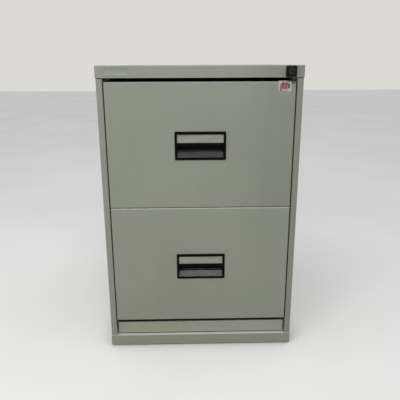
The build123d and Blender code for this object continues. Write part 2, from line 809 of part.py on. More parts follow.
def lock_catch(drawer):
    """Angle on the right-hand drawer side that the lock bar's finger holds back."""
    corner = y_at(CATCH_DEPTH)
    middle = drawer.floor + CATCH_ABOVE_FLOOR
    with BuildPart() as angle:
        with BuildSketch(Plane.XY.offset(middle - CATCH_HALF_HEIGHT)):
            add(folded_section([
                (CATCH_REACH, corner),
                (BOX_HALF, corner),
                (BOX_HALF, corner + CATCH_FOOT),
            ], CATCH_SHEET, Side.RIGHT, 1.5 * CATCH_SHEET))
        extrude(amount=2 * CATCH_HALF_HEIGHT)
        punch_catch_holes(drawer)
    return angle


def sticker():
    """Paper label on the upper drawer front, a little proud of its top fold."""
    with BuildPart() as paper:
        with BuildSketch(plane_at(INSET)):
            with Locations(STICKER_CENTRE):
                RectangleRounded(STICKER_WIDTH, STICKER_HEIGHT, SHEET)
        extrude(amount=STICKER_THICKNESS)
    return paper


for drawer in DRAWERS:
    finish(drawer_front(drawer), f"{drawer.name}_drawer_front")
    finish(handle(drawer), f"{drawer.name}_handle")
    finish(label_window(drawer), f"{drawer.name}_label_window")
    finish(inner_front(drawer), f"{drawer.name}_inner_front")
    right_side = drawer_side(drawer)
    with BuildPart() as left_side:
        mirror(right_side.part, about=Plane.YZ)
    finish(left_side, f"{drawer.name}_left_side")
    with right_side:
        punch_catch_holes(drawer)
    finish(right_side, f"{drawer.name}_right_side")
    finish(drawer_bottom(drawer), f"{drawer.name}_drawer_bottom")
    finish(drawer_back(drawer), f"{drawer.name}_drawer_back")
    finish_both(inner_slide(drawer), f"{drawer.name}_inner_slides")
    finish(rivets(drawer), f"{drawer.name}_rivets")
    finish(lock_catch(drawer), f"{drawer.name}_lock_catch")
finish(sticker(), "sticker")


# ---------------------------------------------------------------- lock

def lock_bezel():
    """Rounded square surround of the lock, with a round collar, in front of the fascia."""
    shoulder = LOCK_PROJECTION / 2
    with BuildPart() as bezel:
        with BuildSketch(plane_at(0)):
            with Locations((LOCK_X, LOCK_Z)):
                RectangleRounded(BEZEL_WIDTH, BEZEL_HEIGHT, BEZEL_CORNER)
        extrude(amount=BEZEL_BASE)
        fillet(bezel.faces().sort_by(Axis.Y)[0].edges(), BEZEL_BASE / 4)
        rod_along_y((-LOCK_PROJECTION, -shoulder), LOCK_X, LOCK_Z, COLLAR_RADIUS)
        chamfer(bezel.faces().sort_by(Axis.Y)[0].edges(), COLLAR_CHAMFER)
        rod_along_y((-LOCK_PROJECTION, 0), LOCK_X, LOCK_Z, BARREL_RADIUS + FIT, Mode.SUBTRACT)
        rod_along_y((-shoulder, 0), LOCK_X, LOCK_Z, HOUSING_RADIUS + FIT, Mode.SUBTRACT)
    return bezel


def lock_housing():
    with BuildPart() as housing:
        depths = (-LOCK_PROJECTION / 2, CAM_DEPTH - SHEET)
        rod_along_y(depths, LOCK_X, LOCK_Z, HOUSING_RADIUS)
        rod_along_y(depths, LOCK_X, LOCK_Z, BARREL_RADIUS + FIT, Mode.SUBTRACT)
    return housing


def lock_nut():
    """Ring nut that clamps the housing to the back of the fascia."""
    with BuildPart() as nut:
        with BuildSketch(plane_at(SHEET)):
            with Locations((LOCK_X, LOCK_Z)):
                RegularPolygon(NUT_RADIUS, 6)
                Circle(HOUSING_RADIUS + FIT / 2, mode=Mode.SUBTRACT)
        extrude(amount=-NUT_THICKNESS)
    return nut


def lock_barrel():
    """Turning plug with a key slot in front and a square tail that drives the cam."""
    front = BARREL_RECESS - LOCK_PROJECTION
    screw_hole = (CAM_DEPTH / 2, CAM_DEPTH + CAM_SHEET)
    with BuildPart() as barrel:
        rod_along_y((front, CAM_DEPTH), LOCK_X, LOCK_Z, BARREL_RADIUS)
        with BuildSketch(plane_at(CAM_DEPTH)):
            with Locations((LOCK_X, LOCK_Z)):
                Rectangle(TAIL_WIDTH, TAIL_WIDTH)
        extrude(amount=-CAM_SHEET)
        rod_along_y(screw_hole, LOCK_X, LOCK_Z, SCREW_RADIUS + FIT, Mode.SUBTRACT)
        with BuildSketch(plane_at(-LOCK_PROJECTION)):
            with Locations((LOCK_X, LOCK_Z)):
                Rectangle(*KEY_SLOT)
        extrude(amount=-LOCK_PROJECTION, mode=Mode.SUBTRACT)
    return barrel


def crank_pin_place():
    """Centre of the crank pin at rest, with the drawers unlocked."""
    angle = radians(CRANK_REST)
    return (LOCK_X + CRANK * cos(angle), LOCK_Z + CRANK * sin(angle))


def lock_cam():
    """Crank on the barrel's tail, with a pin that runs in the slot of the lock bar."""
    pin_x, pin_z = crank_pin_place()
    hole = TAIL_WIDTH + FIT
    with BuildPart() as cam:
        with BuildSketch(plane_at(CAM_DEPTH)):
            with Locations((LOCK_X, LOCK_Z)):
                Circle(BARREL_RADIUS)
            with Locations((pin_x, pin_z)):
                Circle(CAM_ARM_RADIUS)
            make_hull()
            with Locations((LOCK_X, LOCK_Z)):
                Rectangle(hole, hole, mode=Mode.SUBTRACT)
        extrude(amount=-CAM_SHEET)
        pin = (CAM_DEPTH + CAM_SHEET, LOCK_BAR_DEPTH + LOCK_BAR_SHEET + SHEET)
        rod_along_y(pin, pin_x, pin_z, CRANK_PIN_RADIUS)
    return cam


def lock_cam_screw():
    rear = CAM_DEPTH + CAM_SHEET
    with BuildPart() as screw:
        rod_along_y((rear, rear + CAM_SCREW_HEAD), LOCK_X, LOCK_Z, CAM_SCREW_HEAD_RADIUS)
        rod_along_y((CAM_DEPTH / 2 + SHEET, rear), LOCK_X, LOCK_Z, SCREW_RADIUS)
    return screw


def finger_top(drawer):
    """Top of the lock bar's finger while the drawers are unlocked."""
    return drawer.floor + CATCH_ABOVE_FLOOR - CATCH_HALF_HEIGHT - FINGER_GAP


def lock_bar():
    """Flat bar behind the right-hand post: a slotted head, and a finger for each drawer."""
    pin_x, pin_z = crank_pin_place()
    left, right = LOCK_BAR_X
    slot_half_height = CRANK_PIN_RADIUS + SLOT_CLEARANCE
    slot = (pin_x - slot_half_height, LOCK_X + CRANK + slot_half_height)
    head_top = pin_z + slot_half_height + SLOT_BORDER
    head = (slot[0] - SLOT_BORDER, head_top - LOCK_BAR_HEAD)
    foot = finger_top(LOWER) - FINGER_HEIGHT
    with BuildPart() as bar:
        with BuildSketch(plane_at(LOCK_BAR_DEPTH)):
            rectangle_between((left, foot), (right, head_top))
            rectangle_between(head, (right, head_top))
            for drawer in DRAWERS:
                top = finger_top(drawer)
                rectangle_between((FINGER_X, top - FINGER_HEIGHT), (right, top))
            rectangle_between(
                (slot[0], pin_z - slot_half_height), (slot[1], pin_z + slot_half_height), Mode.SUBTRACT,
            )
        extrude(amount=-LOCK_BAR_SHEET)
        fillet(bar.edges().filter_by(Axis.Y).group_by(Axis.X)[0], SHEET)
    return bar


def rectangle_between(low, high, mode=Mode.ADD):
    """A rectangle between two opposite corners, in the sketch being built."""
    with Locations(((low[0] + high[0]) / 2, (low[1] + high[1]) / 2)):
        Rectangle(high[0] - low[0], high[1] - low[1], mode=mode)


def lock_bar_guides():
    """Nylon blocks on the right-hand front upright, in which the lock bar slides."""
    left, right = LOCK_BAR_X
    wall = 1.4
    side_play = 2 * FIT
    with BuildPart() as guides:
        for z in GUIDE_HEIGHTS:
            low_z = z - GUIDE_LENGTH / 2
            high_z = z + GUIDE_LENGTH / 2
            box_between(
                (left - side_play - wall, y_at(LOCK_BAR_DEPTH - wall - side_play), low_z),
                (right + side_play + wall, y_at(FRONT_UPRIGHT_DEPTH), high_z),
            )
            box_between(
                (left - side_play, y_at(LOCK_BAR_DEPTH - side_play), low_z),
                (right + side_play, y_at(LOCK_BAR_DEPTH + LOCK_BAR_SHEET + side_play), high_z),
                mode=Mode.SUBTRACT,
            )
    return guides


finish(lock_bezel(), "lock_bezel")
finish(lock_housing(), "lock_housing")
finish(lock_nut(), "lock_nut")
finish(lock_barrel(), "lock_barrel")
finish(lock_cam(), "lock_cam")
finish(lock_cam_screw(), "lock_cam_screw")
finish(lock_bar(), "lock_bar")
finish(lock_bar_guides(), "lock_bar_guides")
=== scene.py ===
import json
import math

import bpy
from mathutils import Matrix, Vector


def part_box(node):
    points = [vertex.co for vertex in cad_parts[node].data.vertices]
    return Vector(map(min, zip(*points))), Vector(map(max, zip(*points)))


# Two-drawer steel filing cabinet. Metres, in the frame of the CAD model: the floor is z = 0,
# the drawers face -Y and +X is to the right for someone facing them. Every visible piece is the
# CAD model's own; this script gives them their materials and sets up the studio.

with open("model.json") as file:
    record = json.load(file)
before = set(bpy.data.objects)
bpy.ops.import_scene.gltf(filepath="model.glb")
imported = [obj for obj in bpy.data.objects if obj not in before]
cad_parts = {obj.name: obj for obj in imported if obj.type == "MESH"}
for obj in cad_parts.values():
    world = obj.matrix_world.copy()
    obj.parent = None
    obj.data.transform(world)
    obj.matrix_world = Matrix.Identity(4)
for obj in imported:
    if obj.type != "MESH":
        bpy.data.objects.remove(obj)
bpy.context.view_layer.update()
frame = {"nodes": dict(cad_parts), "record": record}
NODES = frame["nodes"]


# ---------------------------------------------------------------- material recipes

class Recipe:
    """A material's node tree, built one call per node. Sockets and plain values both go in."""

    def __init__(self, name):
        self.material = bpy.data.materials.new(name)
        self.material.use_nodes = True
        self.tree = self.material.node_tree
        self.shader = self.tree.nodes["Principled BSDF"]
        self.place = self.tree.nodes.new("ShaderNodeTexCoord").outputs["Object"]

    def put(self, socket, value):
        if isinstance(value, bpy.types.NodeSocket):
            self.tree.links.new(value, socket)
        elif isinstance(value, tuple) and len(value) == 3 and socket.type == "RGBA":
            socket.default_value = (*value, 1.0)
        else:
            socket.default_value = value

    def set(self, **values):
        """Inputs of the shader, by name with underscores for spaces."""
        for name, value in values.items():
            self.put(self.shader.inputs[name.replace("_", " ")], value)

    def math(self, operation, a, b=0.0, clamp=False):
        node = self.tree.nodes.new("ShaderNodeMath")
        node.operation = operation
        node.use_clamp = clamp
        self.put(node.inputs[0], a)
        self.put(node.inputs[1], b)
        return node.outputs[0]

    def times(self, a, b):
        return self.math("MULTIPLY", a, b)

    def moved(self, centre=(0.0, 0.0, 0.0), turn=(0.0, 0.0, 0.0), stretch=(1.0, 1.0, 1.0)):
        """Object coordinates about a centre, turned and stretched."""
        node = self.tree.nodes.new("ShaderNodeMapping")
        node.vector_type = "TEXTURE"
        self.put(node.inputs["Vector"], self.place)
        node.inputs["Location"].default_value = centre
        node.inputs["Rotation"].default_value = turn
        node.inputs["Scale"].default_value = stretch
        return node.outputs["Vector"]

    def noise(self, scale, detail=2.0, vector=None, roughness=0.5):
        node = self.tree.nodes.new("ShaderNodeTexNoise")
        self.put(node.inputs["Vector"], vector or self.place)
        node.inputs["Scale"].default_value = scale
        node.inputs["Detail"].default_value = detail
        node.inputs["Roughness"].default_value = roughness
        return node.outputs["Fac"]

    def ramp(self, value, low, high, to_low=0.0, to_high=1.0):
        """A smooth step of a value from low to high."""
        node = self.tree.nodes.new("ShaderNodeMapRange")
        node.interpolation_type = "SMOOTHSTEP"
        self.put(node.inputs["Value"], value)
        node.inputs["From Min"].default_value = low
        node.inputs["From Max"].default_value = high
        node.inputs["To Min"].default_value = to_low
        node.inputs["To Max"].default_value = to_high
        return node.outputs["Result"]

    def mix(self, factor, a, b):
        node = self.tree.nodes.new("ShaderNodeMix")
        node.data_type = "RGBA"
        self.put(node.inputs[0], factor)
        self.put(node.inputs[6], a)
        self.put(node.inputs[7], b)
        return node.outputs[2]

    def edge(self, radius, low=0.02, high=0.25):
        """Mask that is 1 on outer and inner edges, from the normal rounded over a radius."""
        rounded = self.tree.nodes.new("ShaderNodeBevel")
        rounded.samples = 4
        rounded.inputs["Radius"].default_value = radius
        plain = self.tree.nodes.new("ShaderNodeNewGeometry").outputs["Normal"]
        dot = self.tree.nodes.new("ShaderNodeVectorMath")
        dot.operation = "DOT_PRODUCT"
        self.put(dot.inputs[0], rounded.outputs["Normal"])
        self.put(dot.inputs[1], plain)
        return self.ramp(self.math("SUBTRACT", 1.0, dot.outputs["Value"]), low, high)

    def crevice(self, distance, strength, between_pieces=False):
        """Mask of painted shade in the inner corners of a piece, or also where it meets its neighbours.
        """
        node = self.tree.nodes.new("ShaderNodeAmbientOcclusion")
        node.samples = 6
        node.only_local = not between_pieces
        node.inputs["Distance"].default_value = distance
        return self.times(self.ramp(node.outputs["AO"], 0.35, 0.95, 1.0, 0.0), strength)

    def bump(self, *heights):
        """Bumps in turn, each a (height, distance, strength)."""
        normal = None
        for height, distance, strength in heights:
            node = self.tree.nodes.new("ShaderNodeBump")
            self.put(node.inputs["Height"], height)
            node.inputs["Distance"].default_value = distance
            node.inputs["Strength"].default_value = strength
            if normal:
                self.put(node.inputs["Normal"], normal)
            normal = node.outputs["Normal"]
        self.set(Normal=normal)

    def facing_up(self, low=0.45, high=0.85):
        """Mask of surfaces that look upwards, between two values of the normal's height."""
        split = self.tree.nodes.new("ShaderNodeSeparateXYZ")
        self.put(split.inputs[0], self.tree.nodes.new("ShaderNodeNewGeometry").outputs["Normal"])
        return self.ramp(split.outputs["Z"], low, high)

    def along(self, axis):
        """Position along X, Y or Z, in metres."""
        split = self.tree.nodes.new("ShaderNodeSeparateXYZ")
        self.put(split.inputs[0], self.place)
        return split.outputs[axis]

    def plate_space(self, centre, size):
        """Position across and up a small plate on the front, from -0.5 to 0.5 of its size."""
        place = self.moved((centre[0], 0.0, centre[1]), stretch=(size[0], 1.0, size[1]))
        split = self.tree.nodes.new("ShaderNodeSeparateXYZ")
        self.put(split.inputs[0], place)
        return split.outputs["X"], split.outputs["Z"]

    def band(self, value, low, high, soft=0.02):
        """Mask that is 1 while a value lies between two limits."""
        above = self.ramp(value, low - soft, low + soft)
        below = self.ramp(value, high - soft, high + soft, 1.0, 0.0)
        return self.times(above, below)

    def patch(self, across, up, x_range, z_range, soft=(0.02, 0.02)):
        """Mask of a rectangle on a plate, from its ranges across and up and the width of its edges."""
        return self.times(self.band(across, *x_range, soft[0]), self.band(up, *z_range, soft[1]))

    def spot(self, centre, size, turn=0.0):
        """Mask of a ragged oval mark on the front, size in metres across and up."""
        space = self.moved((centre[0], 0.0, centre[1]), (0.0, turn, 0.0), (size[0], 1.0, size[1]))
        flat = self.tree.nodes.new("ShaderNodeVectorMath")
        flat.operation = "MULTIPLY"
        self.put(flat.inputs[0], space)
        flat.inputs[1].default_value = (1.0, 0.0, 1.0)
        length = self.tree.nodes.new("ShaderNodeVectorMath")
        length.operation = "LENGTH"
        self.put(length.inputs[0], flat.outputs["Vector"])
        ragged = self.math("ADD", length.outputs["Value"], self.noise(RAGGED_OUTLINE, 3.0))
        return self.ramp(ragged, 0.75, 1.05, 1.0, 0.0)


def scaled(colour, factor):
    return tuple(channel * factor for channel in colour)


def front_plate_place(node):
    """Centre and size, across and up, of a plate on the front."""
    low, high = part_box(node)
    centre = ((low[0] + high[0]) / 2, (low[2] + high[2]) / 2)
    return centre, (high[0] - low[0], high[2] - low[2])


# ---------------------------------------------------------------- paint

# Colours are linear.
PAINT = (0.262, 0.283, 0.232)
CARCASS_PAINT = (0.268, 0.282, 0.238)
# The rail is lighter than the carcass: painted light on the recessed rail, in the shade of the drawer
# above.
LIGHTENED_RAIL_PAINT = (0.318, 0.337, 0.270)
BARE_METAL = (0.43, 0.44, 0.40)
# Pale dusting, also laid on upward faces as a painted highlight.
PALE_DUST_AND_HIGHLIGHT = (0.56, 0.56, 0.505)
# Painted black where a recess lies in shadow.
BLACK_PAINTED_SHADOW = (0.022, 0.021, 0.016)

# The least and the most of the pale dusting and painted highlight on ledges.
SOME_DUST_AND_HIGHLIGHT = (0.08, 0.24)
THIN_DUST_AND_HIGHLIGHT = (0.04, 0.16)
THICK_DUST_AND_HIGHLIGHT = (0.75, 1.0)

# Noise scales, in cells per metre.
PATCHES = 4.5
WAVES = 14.0
SMEARS = 22.0
DUST_AND_HIGHLIGHT_CLUMPS = 24.0
RUNS = 30.0
MOTTLE = 55.0
CHIPS = 260.0
ORANGE_PEEL = 520.0
RAGGED_OUTLINE = 700.0

RUN_LENGTH = 14.0
# Radius of the edges lightened as worn paint and as a painted highlight.
EDGE_WEAR_AND_HIGHLIGHT = 0.0016
# Reach of the painted shade in inner corners.
CORNER_SHADE = 0.005
# Depth over which the painted black shadow sets in.
SHADOW_STEP = 0.005
# Span across X of the painted shade at the right-hand end.
RIGHT_SHADE_FROM, RIGHT_SHADE_TO = 0.04, 0.22


def painted_steel(
    name, colour, marks=(), joint_shade=0.0, dust_and_highlight_range=SOME_DUST_AND_HIGHLIGHT, handling_and_shade=0.0, shade_behind=None
):
    """Satin stoved enamel: orange peel, broad tone changes, faint runs of dirt, worn edges that are
    also lightened as a painted highlight, and painted shade in the inner corners.

    The marks are dark scuffs and painted shadows; the joint distance is how far painted shade
    spreads from the joints with other pieces; the ledge range is the least and most of the pale
    dusting and painted highlight on upward faces; the right-end amount darkens the right-hand end
    as painted shade. Behind the given depth the piece is painted black as shadow.
    """
    paint = Recipe(name)
    # A darker colour, for runs of dirt and for painted shade.
    grime_and_shade = scaled((colour[0], colour[1] * 0.97, colour[2] * 0.90), 0.42)
    broad = paint.ramp(paint.noise(PATCHES, 3.0), 0.32, 0.68)
    tone = paint.mix(broad, scaled(colour, 0.965), scaled(colour, 1.03))
    mottle = paint.ramp(paint.noise(MOTTLE, 4.0), 0.3, 0.7)
    tone = paint.mix(paint.times(mottle, 0.25), tone, scaled(colour, 0.93))
    streaks = paint.noise(RUNS, 3.0, paint.moved(stretch=(1.0, 1.0, RUN_LENGTH)))
    tone = paint.mix(paint.ramp(streaks, 0.52, 0.82, 0.0, 0.10), tone, grime_and_shade)
    # Edges are lightened as worn paint and as a painted highlight on the folds.
    rubbed_and_highlit = paint.edge(EDGE_WEAR_AND_HIGHLIGHT)
    chipped = paint.ramp(paint.noise(CHIPS, 5.0, roughness=0.7), 0.44, 0.62)
    tone = paint.mix(paint.times(rubbed_and_highlit, 0.35), tone, scaled(colour, 1.35))
    tone = paint.mix(paint.times(paint.times(rubbed_and_highlit, chipped), 0.4), tone, BARE_METAL)
    # Marks darken the paint: real scuffs, and painted shadows such as the one under the lock.
    for centre, size, turn, strength in marks:
        mask = paint.times(paint.spot(centre, size, turn), strength)
        tone = paint.mix(mask, tone, scaled(grime_and_shade, 0.5))
    # The right-hand end is darkened as painted shade, away from the light on the left.
    right_shade = paint.times(paint.ramp(paint.along("X"), RIGHT_SHADE_FROM, RIGHT_SHADE_TO), handling_and_shade)
    tone = paint.mix(right_shade, tone, scaled(grime_and_shade, 0.8))
    # Upward faces are lightened as a pale dusting and as a painted highlight on ledges and folds.
    dust_and_highlight = paint.ramp(paint.noise(DUST_AND_HIGHLIGHT_CLUMPS, 6.0, roughness=0.6), 0.25, 0.75, *dust_and_highlight_range)
    tone = paint.mix(paint.times(paint.facing_up(), dust_and_highlight), tone, PALE_DUST_AND_HIGHLIGHT)
    # Inner corners are darkened as painted shade.
    tone = paint.mix(paint.crevice(CORNER_SHADE, 0.45), tone, grime_and_shade)
    # Painted shade spreads from the joints with neighbouring pieces.
    if joint_shade:
        shade_between_parts = paint.crevice(joint_shade, 1.0, between_pieces=True)
        tone = paint.mix(shade_between_parts, tone, scaled(grime_and_shade, 0.3))
    # Behind the given depth the piece is painted black as shadow.
    if shade_behind is not None:
        shadowed_behind = paint.ramp(paint.along("Y"), shade_behind, shade_behind + SHADOW_STEP)
        tone = paint.mix(shadowed_behind, tone, BLACK_PAINTED_SHADOW)
    sheen = paint.ramp(paint.noise(SMEARS, 4.0), 0.3, 0.7, 0.40, 0.52)
    paint.set(Base_Color=tone, Roughness=sheen, Specular_IOR_Level=0.45)
    paint.bump((paint.noise(WAVES, 2.0), 0.0012, 0.12), (paint.noise(ORANGE_PEEL, 1.5), 0.00012, 0.35))
    return paint.material


# ---------------------------------------------------------------- other materials

BLACK_PLASTIC = (0.0016, 0.0018, 0.0018)
GREY_DUST_AND_SHEEN = (0.30, 0.31, 0.315)
BRIGHT_ZINC = (0.62, 0.63, 0.61)
ZINC_CREVICE_SHADE = (0.10, 0.09, 0.07)
PLATE_GREEN = (0.262, 0.285, 0.240)
PLATE_GREY = (0.285, 0.295, 0.285)
PAPER_BROWN = ((0.42, 0.375, 0.325), (0.47, 0.425, 0.375))
PAPER_GREY = (0.29, 0.275, 0.265)
RED_INK = ((0.27, 0.036, 0.044), (0.50, 0.155, 0.155))
DARK_INK = (0.032, 0.024, 0.020)
PAPER_SHADOW = (0.055, 0.050, 0.040)


def moulded_plastic(name, colour, roughness=0.33):
    """Moulded plastic with a fine spark-eroded grain, polished and scratched where it is touched.

    Upward faces are lightened as a grey dusting and as a painted reflection.
    """
    plastic = Recipe(name)
    touched = plastic.ramp(plastic.noise(38.0, 4.0), 0.35, 0.7)
    strokes = plastic.noise(1300.0, 2.0, plastic.moved(turn=(0.0, 0.35, 0.0), stretch=(14.0, 1.0, 1.0)))
    scratches = plastic.ramp(strokes, 0.58, 0.74)
    rubbed_and_highlit = plastic.edge(0.0009)
    tone = plastic.mix(touched, colour, scaled(colour, 1.6))
    tone = plastic.mix(plastic.times(rubbed_and_highlit, 0.4), tone, scaled(colour, 4.0))
    # Upward faces, the pocket's sloping floor among them, are lightened as a grey dusting and as a
    # painted reflection.
    dust_and_highlight = plastic.ramp(plastic.noise(45.0, 4.0), 0.3, 0.75, 0.06, 0.20)
    tone = plastic.mix(plastic.times(plastic.facing_up(), dust_and_highlight), tone, GREY_DUST_AND_SHEEN)
    worn = plastic.times(plastic.math("ADD", touched, scratches), 0.05)
    # Fingers polish the sloping floor of the pocket; the upright faces stay dull.
    polish = plastic.ramp(plastic.facing_up(0.25, 0.50), 0.0, 1.0, 0.10, 0.41)
    plastic.set(
        Base_Color=tone, Roughness=plastic.math("ADD", worn, roughness), Specular_IOR_Level=polish,
    )
    plastic.bump((plastic.noise(2600.0, 2.0), 0.00004, 0.5), (scratches, 0.00002, 0.2))
    return plastic.material


def zinc_plated(name):
    """Bright zinc on rolled strip: lengthwise drawing lines, cloudy tone and a yellowish cast.

    Its crevices are darkened as painted shade.
    """
    zinc = Recipe(name)
    lines = zinc.noise(900.0, 2.0, zinc.moved(stretch=(1.0, 30.0, 1.0)))
    clouds = zinc.ramp(zinc.noise(24.0, 4.0), 0.3, 0.7)
    cast = zinc.ramp(zinc.noise(9.0, 2.0), 0.35, 0.65)
    yellowed = (BRIGHT_ZINC[0] * 1.02, BRIGHT_ZINC[1] * 0.97, BRIGHT_ZINC[2] * 0.84)
    tone = zinc.mix(cast, BRIGHT_ZINC, yellowed)
    tone = zinc.mix(zinc.times(clouds, 0.3), tone, scaled(BRIGHT_ZINC, 0.72))
    # Crevices are darkened as painted shade.
    tone = zinc.mix(zinc.crevice(0.006, 0.5), tone, ZINC_CREVICE_SHADE)
    zinc.set(Base_Color=tone, Metallic=1.0, Roughness=zinc.ramp(clouds, 0.0, 1.0, 0.28, 0.46))
    zinc.bump((lines, 0.00004, 0.4))
    return zinc.material


def polished_steel(name):
    """Bright steel under a broken film of old grease."""
    steel = Recipe(name)
    film = steel.ramp(steel.noise(300.0, 3.0), 0.4, 0.7)
    tone = steel.mix(film, (0.66, 0.66, 0.65), (0.42, 0.39, 0.33))
    steel.set(Base_Color=tone, Metallic=1.0, Roughness=steel.ramp(film, 0.0, 1.0, 0.12, 0.3))
    steel.bump((film, 0.00003, 0.3))
    return steel.material


def black_lacquer(name):
    """Black lacquered die-casting, with brighter worn rims."""
    lacquer = Recipe(name)
    speck = lacquer.ramp(lacquer.noise(900.0, 3.0), 0.45, 0.7)
    tone = lacquer.mix(speck, (0.0045, 0.0043, 0.0040), (0.010, 0.009, 0.008))
    tone = lacquer.mix(lacquer.times(lacquer.edge(0.0011), 0.12), tone, (0.07, 0.066, 0.06))
    gloss = lacquer.ramp(speck, 0.0, 1.0, 0.22, 0.34)
    lacquer.set(Base_Color=tone, Roughness=gloss, Specular_IOR_Level=0.20)
    lacquer.bump((lacquer.noise(1100.0, 2.0), 0.00005, 0.4))
    return lacquer.material


def dull_nickel(name):
    """Turned nickel plate, blackened by handling."""
    nickel = Recipe(name)
    handling_and_shade = nickel.ramp(nickel.noise(260.0, 4.0), 0.35, 0.65)
    tone = nickel.mix(handling_and_shade, (0.068, 0.064, 0.059), (0.026, 0.024, 0.022))
    nickel.set(Base_Color=tone, Metallic=0.85, Roughness=nickel.ramp(handling_and_shade, 0.0, 1.0, 0.3, 0.5))
    nickel.bump((nickel.noise(1500.0, 2.0), 0.00003, 0.4))
    return nickel.material


def moulded_rubber(name):
    """Matt black rubber with a greyish bloom."""
    rubber = Recipe(name)
    bloom = rubber.ramp(rubber.noise(180.0, 4.0), 0.4, 0.7)
    rubber.set(Base_Color=rubber.mix(bloom, (0.018, 0.018, 0.018), (0.05, 0.049, 0.046)), Roughness=0.82)
    rubber.bump((rubber.noise(1400.0, 3.0), 0.00008, 0.6))
    return rubber.material


def natural_nylon(name):
    """Cream nylon, yellowed along the flow of the moulding."""
    nylon = Recipe(name)
    flow = nylon.ramp(nylon.noise(90.0, 3.0), 0.35, 0.7)
    nylon.set(
        Base_Color=nylon.mix(flow, (0.74, 0.71, 0.62), (0.62, 0.58, 0.48)), Roughness=0.45,
        Subsurface_Weight=0.15, Subsurface_Scale=0.002,
    )
    nylon.bump((nylon.noise(1200.0, 2.0), 0.00004, 0.4))
    return nylon.material


def clear_film(name):
    """Thin clear acetate: almost invisible, with a soft reflection and light scuffs."""
    film = Recipe(name)
    nodes = film.tree.nodes
    through = nodes.new("ShaderNodeBsdfTransparent")
    through.inputs["Color"].default_value = (0.995, 1.0, 0.995, 1.0)
    scuffs = film.noise(110.0, 5.0, film.moved(stretch=(6.0, 1.0, 1.0)))
    haze = film.ramp(scuffs, 0.35, 0.75, 0.0, 0.07)
    film.set(
        Base_Color=(0.80, 0.81, 0.78), Roughness=film.ramp(film.noise(60.0, 3.0), 0.3, 0.7, 0.18, 0.4),
        Specular_IOR_Level=0.6,
    )
    film.bump((film.noise(70.0, 2.0), 0.0003, 0.15))
    # The film dims what lies behind it for the eye, but casts no shadow of its own.
    shadow = nodes.new("ShaderNodeLightPath").outputs["Is Shadow Ray"]
    blend = nodes.new("ShaderNodeMixShader")
    film.put(blend.inputs[0], film.times(haze, film.math("SUBTRACT", 1.0, shadow)))
    film.tree.links.new(through.outputs[0], blend.inputs[1])
    film.tree.links.new(film.shader.outputs[0], blend.inputs[2])
    film.tree.links.new(blend.outputs[0], nodes["Material Output"].inputs["Surface"])
    return film.material


def paper_label(name, centre, size):
    """Browned paper with a plain worn red panel, a dark rule beside it and dark blots.

    Its top right corner is darkened as a painted shadow of the lock.
    """
    paper = Recipe(name)
    across, up = paper.plate_space(centre, size)
    worn = paper.ramp(paper.noise(330.0, 3.0), 0.47, 0.64)
    fibres = paper.ramp(paper.noise(1500.0, 3.0), 0.3, 0.7)
    tone = paper.mix(fibres, *PAPER_BROWN)
    faded = paper.patch(across, up, (-0.30, 0.22), (-0.62, 0.62), soft=(0.08, 0.02))
    tone = paper.mix(paper.times(faded, 0.75), tone, PAPER_GREY)
    panel = paper.patch(across, up, (-0.38, 0.20), (-0.24, 0.19))
    tone = paper.mix(paper.times(panel, 0.92), tone, paper.mix(worn, *RED_INK))
    rule = paper.patch(across, up, (0.235, 0.36), (-0.19, 0.24))
    left_blot = paper.patch(across, up, (-0.25, -0.05), (0.16, 0.33), soft=(0.03, 0.03))
    right_blot = paper.patch(across, up, (0.02, 0.20), (0.16, 0.30), soft=(0.04, 0.04))
    low_blot = paper.patch(across, up, (-0.38, -0.29), (-0.46, -0.24), soft=(0.03, 0.04))
    marks = rule
    for blot in (low_blot, right_blot, left_blot):
        marks = paper.math("ADD", marks, blot, clamp=True)
    tone = paper.mix(paper.times(marks, 0.95), tone, DARK_INK)
    # The top right corner is darkened as a painted shadow of the lock.
    lock_shadow = paper.patch(across, up, (0.16, 0.62), (0.37, 0.62), soft=(0.04, 0.03))
    tone = paper.mix(paper.times(lock_shadow, 0.8), tone, PAPER_SHADOW)
    paper.set(Base_Color=tone, Roughness=0.62, Specular_IOR_Level=0.35)
    paper.bump((fibres, 0.00003, 0.5), (worn, 0.00003, 0.5))
    return paper.material


def blank_plate(name, centre, size):
    """Enamelled plate, blank, darker along its top and brighter along its lower edge."""
    plate = Recipe(name)
    across, up = plate.plate_space(centre, size)
    speck = plate.ramp(plate.noise(300.0, 4.0), 0.35, 0.7)
    tone = plate.mix(speck, scaled(PLATE_GREEN, 0.97), scaled(PLATE_GREEN, 1.05))
    left_end = plate.ramp(across, -0.36, -0.10, 1.0, 0.0)
    tone = plate.mix(plate.times(left_end, 0.6), tone, PLATE_GREY)
    dark = plate.band(up, 0.16, 0.40, 0.04)
    tone = plate.mix(plate.times(dark, 0.75), tone, scaled(PLATE_GREEN, 0.80))
    bright = plate.times(plate.band(up, -0.46, -0.30, 0.04), plate.ramp(across, -0.3, 0.0, 0.4, 1.0))
    tone = plate.mix(plate.times(bright, 0.8), tone, scaled(PLATE_GREEN, 1.45))
    plate.set(Base_Color=tone, Roughness=plate.ramp(speck, 0.0, 1.0, 0.34, 0.46), Specular_IOR_Level=0.5)
    plate.bump((plate.noise(900.0, 2.0), 0.00004, 0.4))
    return plate.material


# ---------------------------------------------------------------- which piece gets which

# Marks on the fronts: centre across and up, size, turn, strength.
LOWER_FRONT_SCUFFS = (
    ((-0.116, 0.1085), (0.0028, 0.0022), 0.0, 0.9),
    ((-0.012, 0.107), (0.0075, 0.0011), 0.25, 0.45),
    ((0.084, 0.123), (0.0060, 0.0010), -0.5, 0.4),
)
UPPER_FRONT_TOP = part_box("upper_drawer_front")[1][2]
# A dark patch at the top edge of the upper front, under the lock: a painted shadow of the lock.
SHADOW_UNDER_LOCK = (((0.206, UPPER_FRONT_TOP), (0.028, 0.016), 0.0, 1.0),)
